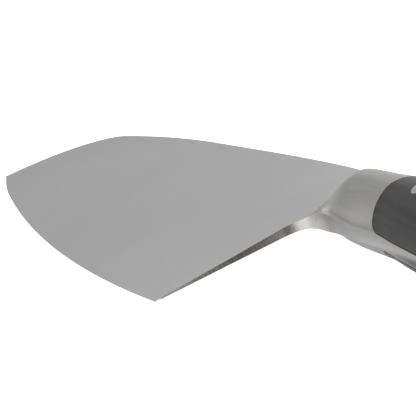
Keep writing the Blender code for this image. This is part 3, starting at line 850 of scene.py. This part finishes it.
wide, narrow, step = HEAD_RADIUS + HOLE_GAP, SHANK_RADIUS + HOLE_GAP, HEAD_SEAT - HOLE_GAP
stepped_hole = ((0.0, FAR), (wide, FAR), (wide, step), (narrow, step), (narrow, 0.0), (0.0, 0.0))
through_hole = ((0.0, FAR), (narrow, FAR), (narrow, -FAR), (0.0, -FAR))
drill(scales["left"], stepped_hole, 1.0)
drill(scales["right"], stepped_hole, -1.0)
drill(blade, through_hole, 1.0)

# %% [markdown]
# ## Brushed lines
#
# A satin blade is never one flat grey. The belt leaves fine lines, tighter than a hair, which run across
# the blade from edge to spine. A photograph of steel would smear when wrapped round the knife; a noise
# stretched along one axis gives such lines at any size. A second, slow noise stands for the uneven pressure
# of the hand. Every steel uses the same effect with other values, so it is a node group.

# %% Node helpers and the brushed effect
NODE_SPACING, NODES_IN_ROW = 250.0, 14


def set_inputs(made, values):
    """Gives the inputs of a node their values, by name or number."""
    for key, value in values.items():
        made.inputs[key].default_value = value


def node(tree, kind, inputs=None, **settings):
    """A shader node, in a row with the others; its settings come first, as they decide its inputs."""
    made = tree.nodes.new("ShaderNode" + kind)
    made.location = (NODE_SPACING * (len(tree.nodes) - NODES_IN_ROW), 0.0)
    for key, value in settings.items():
        setattr(made, key, value)
    set_inputs(made, inputs or {})
    return made


def wire(tree, *rows):
    """Links sockets, one row for each link: node, its output, the next node, its input."""
    for source, output, target, entry in rows:
        tree.links.new(source.outputs[output], target.inputs[entry])


def new_group(name, inputs, outputs):
    """Empty node group with named inputs of given kinds and named outputs, all of them numbers."""
    group = bpy.data.node_groups.new(name, "ShaderNodeTree")
    for label, kind in inputs.items():
        group.interface.new_socket(label, in_out="INPUT", socket_type=kind)
    for label in outputs:
        group.interface.new_socket(label, in_out="OUTPUT", socket_type="NodeSocketFloat")
    start, end = group.nodes.new("NodeGroupInput"), group.nodes.new("NodeGroupOutput")
    end.location = (NODE_SPACING, 0.0)
    return group, start, end


def brushed_group():
    """Lines = noise on stretched object coordinates; Cloud = slow noise; both from 0 to 1."""
    sockets = {"Stretch": "NodeSocketVector", "Cloud Scale": "NodeSocketFloat"}
    group, start, end = new_group("brushed lines", sockets, ("Lines", "Cloud"))
    place = node(group, "TexCoord")
    stretch = node(group, "VectorMath", operation="MULTIPLY")
    lines = node(group, "TexNoise", {"Scale": 1.0, "Detail": 3.0, "Roughness": 0.65})
    cloud = node(group, "TexNoise", {"Detail": 2.0})
    wire(
        group,
        (place, "Object", stretch, 0), (start, "Stretch", stretch, 1),
        (stretch, 0, lines, "Vector"), (place, "Object", cloud, "Vector"),
        (start, "Cloud Scale", cloud, "Scale"), (lines, "Fac", end, "Lines"),
        (cloud, "Fac", end, "Cloud"),
    )
    return group


brushed = brushed_group()
print("node group:", brushed.name, "with", len(brushed.nodes), "nodes")

# %% [markdown]
# ## Painted highlights
#
# Two soft round places have light painted into the steel's colour, as highlights: one low on the bolster's
# flank and one in the fillet, where the finger rests. A mask could be painted on, but the distance from one
# point, seen from the side, is enough for a soft round place.

# %% The mask of a painted highlight


def painted_highlight_group():
    """Mask = 1 at a centre and 0 beyond a reach, as a smoothstep of the distance seen from the side."""
    sockets = {"Centre": "NodeSocketVector", "Reach": "NodeSocketFloat"}
    group, start, end = new_group("polished place", sockets, ("Mask",))
    place = node(group, "TexCoord")
    away = node(group, "VectorMath", operation="SUBTRACT")
    flat = node(group, "VectorMath", {1: (1.0, 1.0, 0.0)}, operation="MULTIPLY")
    distance = node(group, "VectorMath", operation="LENGTH")
    falling = {"To Min": 1.0, "To Max": 0.0}
    fade = node(group, "MapRange", falling, interpolation_type="SMOOTHSTEP")
    wire(
        group,
        (place, "Object", away, 0), (start, "Centre", away, 1), (away, 0, flat, 0),
        (flat, 0, distance, 0), (distance, "Value", fade, "Value"),
        (start, "Reach", fade, "From Max"), (fade, 0, end, "Mask"),
    )
    return group


# The node group of the painted highlights: places where light is painted into the steel's colour.
polished = painted_highlight_group()
print("node group:", polished.name, "with", len(polished.nodes), "nodes")

# %% [markdown]
# ## Satin steel
#
# All the steels are one metal; only the wheel that finished them differs, save for the shade and the
# highlights that are painted into some of them. One function makes them all: the lines and the cloud move the
# colour between two greys, and the lines alone move the roughness and the relief. One material with many
# masks could do it too, but separate ones are easier to tune.

# %% Steel materials
SIDE_TINT = (0.75, 0.75, 0.75, 1.0)
NOISE_RANGE = {"From Min": 0.3, "From Max": 0.7}
STEEL_CLOUDS, STEEL_RELIEF = 25.0, 0.00002
print("noise that reaches the full range of a colour:", tuple(NOISE_RANGE.values()))


def lines_and_cloud(tree, stretch, cloud_scale):
    """The brushed effect as a node of a material."""
    sizes = {"Stretch": stretch, "Cloud Scale": cloud_scale}
    return node(tree, "Group", sizes, node_tree=brushed)


def two_colours(tree, first, second):
    """Mix of two colours."""
    return node(tree, "Mix", {"A": (*first, 1.0), "B": (*second, 1.0)}, data_type="RGBA")


def node_material(name, values):
    """New material, its node tree and its Principled shader with the given values."""
    material = bpy.data.materials.new(name)
    material.use_nodes = True
    shader = material.node_tree.nodes["Principled BSDF"]
    set_inputs(shader, values)
    return material, material.node_tree, shader


def steel(name, dark, light, rough, stretch, bump, painted_spot=None):
    """Satin steel: half lines and half cloud mix two greys, the lines move the roughness between two values.

    The last argument gives the centre, reach and colour of a painted highlight, a place brightened to stand
    for light.
    """
    material, tree, shader = node_material(name, {"Metallic": 1.0, "Specular Tint": SIDE_TINT})
    effect = lines_and_cloud(tree, stretch, STEEL_CLOUDS)
    both = node(tree, "Math", {1: 0.5}, operation="MULTIPLY_ADD")
    half = node(tree, "Math", {1: 0.5}, operation="MULTIPLY")
    colour = node(tree, "MapRange", NOISE_RANGE)
    mix = two_colours(tree, dark, light)
    spread = {**NOISE_RANGE, "To Min": rough[0], "To Max": rough[1]}
    roughness = node(tree, "MapRange", spread)
    relief = node(tree, "Bump", {"Strength": bump, "Distance": STEEL_RELIEF})
    wire(
        tree,
        (effect, "Cloud", half, 0), (effect, "Lines", both, 0), (half, 0, both, 2),
        (both, 0, colour, "Value"), (colour, 0, mix, "Factor"),
        (mix, "Result", shader, "Base Color"), (effect, "Lines", roughness, "Value"),
        (roughness, 0, shader, "Roughness"), (effect, "Lines", relief, "Height"),
        (relief, 0, shader, "Normal"),
    )
    # Painted highlight: the colour is brightened in a soft round place, standing in for light.
    if painted_spot:
        centre, reach, highlight_colour = painted_spot
        spot = {"Centre": in_frame(centre), "Reach": reach * MM}
        corner = node(tree, "Group", node_tree=polished, inputs=spot)
        highlighted = node(tree, "Mix", {"B": (*highlight_colour, 1.0)}, data_type="RGBA")
        wire(
            tree,
            (corner, "Mask", highlighted, "Factor"), (mix, "Result", highlighted, "A"),
            (highlighted, "Result", shader, "Base Color"),
        )
    return material


# %% [markdown]
# ## The knife's steels
#
# The blade's lines run from edge to spine; the bolster's run along the handle, and it is a little darker.
# The choil and the fillet are ground across their narrow faces, and their corner is painted almost black, a
# line of painted shade. Where the bolster begins, a darker line of painted shade is drawn too. The rivets are
# the smoothest. A table shows these differences side by side.

# %% Table of steels
# Painted highlights: the fillet and the bolster's low flank are painted brighter, standing in for light.
FILLET_PAINTED_HIGHLIGHT = ((7.3, 28.7, 0.0), 6.6, (0.76, 0.747, 0.71))
CORNER_PAINTED_HIGHLIGHT = ((12.0, 31.0, 0.0), 7.0, (0.62, 0.615, 0.60))

# For each steel: two greys, two roughnesses, the stretch on each axis, the relief's strength, a painted
# highlight.
STEELS = {
    "blade_satin": ((0.55, 0.55, 0.553), (0.62, 0.62, 0.623), (0.30, 0.38), (9000, 260, 260), 0.15),
    "choil_ground": (
        (0.37, 0.363, 0.345), (0.46, 0.45, 0.425), (0.24, 0.34), (6000, 6000, 300), 0.15, FILLET_PAINTED_HIGHLIGHT,
    ),
    # painted shade: a near-black line along the corner of the choil and the fillet
    "painted_shade_corner": ((0.055, 0.053, 0.05), (0.085, 0.083, 0.08), (0.40, 0.50), (6000, 6000, 300), 0.2),
    "underside_satin": ((0.495, 0.495, 0.497), (0.56, 0.56, 0.562), (0.30, 0.38), (260, 9000, 9000), 0.1),
    # painted shade: a darker line where the bolster begins and beside the fillet
    "painted_shade_line": ((0.22, 0.218, 0.214), (0.28, 0.277, 0.272), (0.36, 0.44), (80, 2600, 2600), 0.05),
    "bolster_satin": (
        (0.372, 0.367, 0.362), (0.45, 0.445, 0.44), (0.28, 0.36), (80, 2600, 2600), 0.05, CORNER_PAINTED_HIGHLIGHT,
    ),
    "rivet_polished": ((0.50, 0.50, 0.49), (0.60, 0.60, 0.59), (0.18, 0.28), (3000, 400, 400), 0.15),
}
steels = {name: steel(name, *values) for name, values in STEELS.items()}


def dress(piece, names, materials):
    """Gives a piece its materials in the order of its slots."""
    for name in names:
        piece.data.materials.append(materials[name])


dress(blade, BLADE_STEELS, steels)
for piece in bolsters.values():
    dress(piece, BOLSTER_STEELS, steels)
for piece in rivets:
    dress(piece, ("rivet_polished",), steels)
print("steels:", ", ".join(steels))

# %% [markdown]
# ## Dark laminate
#
# The scales are thin sheets of beech, dyed black and pressed with resin. Sanded on a curve, the sheets show
# as faint long stripes, a little browner and a little blacker in turn, with the pores of the wood as short
# dark dashes. Stripes come from a wave across the thickness that a noise bends, pores from a long noise; a
# picture of wood couldn't follow the sheets round the curve. At the joints the wood is sealed, reddish and
# quite matt.

# %% Scale materials
LAMINATE_RELIEF = 0.00003


def laminate():
    """Two near blacks in waves along z, darkened to 55 % in pores, with roughness moved by the cloud."""
    material, tree, shader = node_material("scale_black_laminate", {"Specular IOR Level": 0.13})
    effect = lines_and_cloud(tree, (120.0, 2600.0, 2600.0), 60.0)
    place = node(tree, "TexCoord")
    waves = {"Scale": 260.0, "Distortion": 1.6, "Detail Scale": 1.2}
    sheets = node(tree, "TexWave", waves, bands_direction="Z")
    tint = two_colours(tree, (0.0155, 0.0150, 0.0145), (0.0245, 0.0235, 0.0228))
    depth = {"From Min": 0.32, "From Max": 0.44, "To Min": 0.55, "To Max": 1.0}
    pores = node(tree, "MapRange", depth)
    dark = node(tree, "VectorMath", operation="SCALE")
    rough = node(tree, "MapRange", {"To Min": 0.30, "To Max": 0.38})
    relief = node(tree, "Bump", {"Strength": 0.25, "Distance": LAMINATE_RELIEF})
    wire(
        tree,
        (place, "Object", sheets, "Vector"), (sheets, "Fac", tint, "Factor"),
        (effect, "Lines", pores, "Value"), (tint, "Result", dark, 0), (pores, 0, dark, "Scale"),
        (dark, 0, shader, "Base Color"), (effect, "Cloud", rough, "Value"),
        (rough, 0, shader, "Roughness"), (pores, 0, relief, "Height"),
        (relief, 0, shader, "Normal"),
    )
    return material


def sealed_edge():
    """Reddish brown, matt: the end of the sheets and the glue in the joint, mixed by a fine noise."""
    material, tree, shader = node_material("scale_sealed_edge", {"Roughness": 0.7, "Specular IOR Level": 0.1})
    effect = lines_and_cloud(tree, (700.0, 700.0, 700.0), 200.0)
    tint = two_colours(tree, (0.046, 0.024, 0.019), (0.090, 0.050, 0.040))
    wire(tree, (effect, "Lines", tint, "Factor"), (tint, "Result", shader, "Base Color"))
    return material


woods = {"laminate": laminate(), "sealed": sealed_edge()}
for piece in scales.values():
    dress(piece, ("laminate", "sealed"), woods)
print("scale materials:", [material.name for material in scales["left"].data.materials])

# %% [markdown]
# ## White table
#
# The knife lies on a white table, a real surface that takes the knife's soft shadow. White paint alone
# would come out grey under soft light, so it also glows, more for the camera than for the steel that
# mirrors it. A shadow catcher would leave the background empty, to be filled in afterwards.

# %% The table
TABLE_SIZE = 12.0


def glowing_surface(name, colour, seen, mirrored):
    """Matt surface that glows: the larger of seen * camera ray and mirrored * glossy ray."""
    values = {
        "Base Color": (colour, colour, colour, 1.0), "Roughness": 0.9, "Specular IOR Level": 0.0,
        "Emission Strength": 1.0,
    }
    material, tree, shader = node_material(name, values)
    path = node(tree, "LightPath")
    to_camera = node(tree, "Math", {1: seen}, operation="MULTIPLY")
    to_steel = node(tree, "Math", {1: mirrored}, operation="MULTIPLY")
    glow = node(tree, "Math", operation="MAXIMUM")
    wire(
        tree,
        (path, "Is Camera Ray", to_camera, 0), (path, "Is Glossy Ray", to_steel, 0),
        (to_camera, 0, glow, 0), (to_steel, 0, glow, 1), (glow, 0, shader, "Emission Color"),
    )
    return material


def sheet(name, corners, material):
    """Flat sheet of one face through four corners in metres."""
    mesh = bpy.data.meshes.new(name)
    mesh.from_pydata(corners, [], [(0, 1, 2, 3)])
    mesh.materials.append(material)
    return add_object(name, mesh)


half = TABLE_SIZE / 2
corners = [(-half, -half, 0), (half, -half, 0), (half, half, 0), (-half, half, 0)]
table = sheet("table", corners, glowing_surface("table_white", colour=0.8, seen=0.9, mirrored=0.4))
print("table:", TABLE_SIZE, "m square")

# %% [markdown]
# ## White room
#
# The room is the world's background, bright for the camera and for reflections and dimmer for the light
# that it sheds, so that the lamps still draw a soft shadow. A modelled room would take longer to render.

# %% The room
SHED_LIGHT, SHOWN_LIGHT = 0.45, 1.0

world = bpy.data.worlds.new("white room")
bpy.context.scene.world = world
world.use_nodes = True
sky = world.node_tree
backdrop = sky.nodes["Background"]
backdrop.inputs["Color"].default_value = (1.0, 1.0, 1.0, 1.0)
light_path = node(sky, "LightPath")
seen = node(sky, "Math", operation="MAXIMUM")
shown = node(sky, "Math", operation="MAXIMUM")
level = node(sky, "MapRange", {"To Min": SHED_LIGHT, "To Max": SHOWN_LIGHT})
wire(
    sky,
    (light_path, "Is Camera Ray", seen, 0), (light_path, "Is Glossy Ray", seen, 1),
    (seen, 0, shown, 0), (light_path, "Is Transmission Ray", shown, 1), (shown, 0, level, "Value"),
    (level, 0, backdrop, "Strength"),
)
print("world:", world.name)

# %% [markdown]
# ## Lamps
#
# A large soft box hangs beyond the spine, and a weaker one fills in from the front. Square area lamps stand
# for them; a point lamp would make a hard shadow and a small hot spot on the steel.

# %% Two soft lights
LIT_POINT = (-40.0, 25.0, 0.0)


def aim(thing, place, target, roll):
    """Places a lamp or camera: it looks down its own -z, and roll turns it about that axis."""
    look = Vector(target) - Vector(place)
    turn = look.to_track_quat("-Z", "Y").to_matrix().to_4x4()
    thing.matrix_world = Matrix.Translation(Vector(place)) @ turn @ Matrix.Rotation(roll, 4, "Z")


def area_light(name, place, size, power):
    """Square lamp at a place in millimetres from the heel, turned to the lit point; size in metres."""
    data = bpy.data.lights.new(name, "AREA")
    data.size = size
    data.energy = power
    aim(add_object(name, data), in_frame(place), in_frame(LIT_POINT), 0.0)


area_light("soft_box", (-250.0, 500.0, 900.0), size=0.9, power=5.5)
area_light("front_fill", (500.0, -700.0, 600.0), size=0.8, power=2.4)
print("lamps:", [lamp.name for lamp in bpy.data.lights])

# %% [markdown]
# ## Cards
#
# Steel has no colour of its own, it shows what is round it, so a photographer lays and stands cards about
# it: dark ones beside the handle for the narrow faces that look back at the camera, grey ones before the
# blade and beyond the tip. Here the cards are seen by reflections only, so they change neither the light
# nor the shadow. Greys painted on the steel would look right from one side only.

# %% Five cards
LYING_LIFT, STANDING_FOOT = 0.3, 0.5


def card(name, corners, brightness):
    """A card through four corners (x, y, height over the table), in mm, that only reflections see."""
    points = in_frame(corners)
    points[:, 2] = np.array(corners)[:, 2] * MM
    surface = glowing_surface(f"{name}_surface", colour=0.0, seen=0.0, mirrored=brightness)
    held = sheet(name, points.tolist(), surface)
    held.visible_camera = held.visible_shadow = held.visible_diffuse = False


def lying(x0, y0, x1, y1):
    """Corners of a card just above the table."""
    z = LYING_LIFT
    return ((x0, y0, z), (x1, y0, z), (x1, y1, z), (x0, y1, z))


def standing(x, y0, y1, height):
    """Corners of a card that stands across the knife's length."""
    foot = STANDING_FOOT
    return ((x, y0, foot), (x, y1, foot), (x, y1, height), (x, y0, height))


card("dark_card", lying(21.0, 5.0, 200.0, 25.0), 0.02)
card("dark_wall", standing(220.0, -100.0, 300.0, 160.0), 0.03)
card("front_card", lying(-400.0, -250.0, -5.0, 8.0), 0.62)
card("grey_card", standing(-600.0, -150.0, 260.0, 400.0), 0.58)
card("dim_card", standing(-600.0, 260.0, 1200.0, 400.0), 0.75)
print("stage: table, room, two soft lights and five cards")

# %% [markdown]
# ## Camera
#
# The photograph is taken from behind the handle with a long lens, so the blade runs away from us to the tip.
# A camera fitted to the blade's outline stands 43 cm away and is rolled by 26 degrees. Framed by eye, no
# line of the picture could be laid on the photograph.

# %% Camera
CAMERA_PLACE = (360.69, -82.36, 98.06)
CAMERA_TARGET = (-40.04, 26.63, 0.0)
CAMERA_ROLL = math.radians(-26.084)
FOCAL_PIXELS, PICTURE_PIXELS, SENSOR = 2230.0, 416.0, 36.0
CLIP_NEAR, CLIP_FAR = 0.01, 50.0

lens = bpy.data.cameras.new("camera")
lens.sensor_fit = "HORIZONTAL"
lens.sensor_width = SENSOR
lens.lens = FOCAL_PIXELS / PICTURE_PIXELS * SENSOR
lens.clip_start, lens.clip_end = CLIP_NEAR, CLIP_FAR
camera = add_object("camera", lens)
aim(camera, in_frame(CAMERA_PLACE), in_frame(CAMERA_TARGET), CAMERA_ROLL)
bpy.context.scene.camera = camera
bpy.context.scene.view_settings.view_transform = "Standard"
print("lens:", round(lens.lens, 1), "mm")
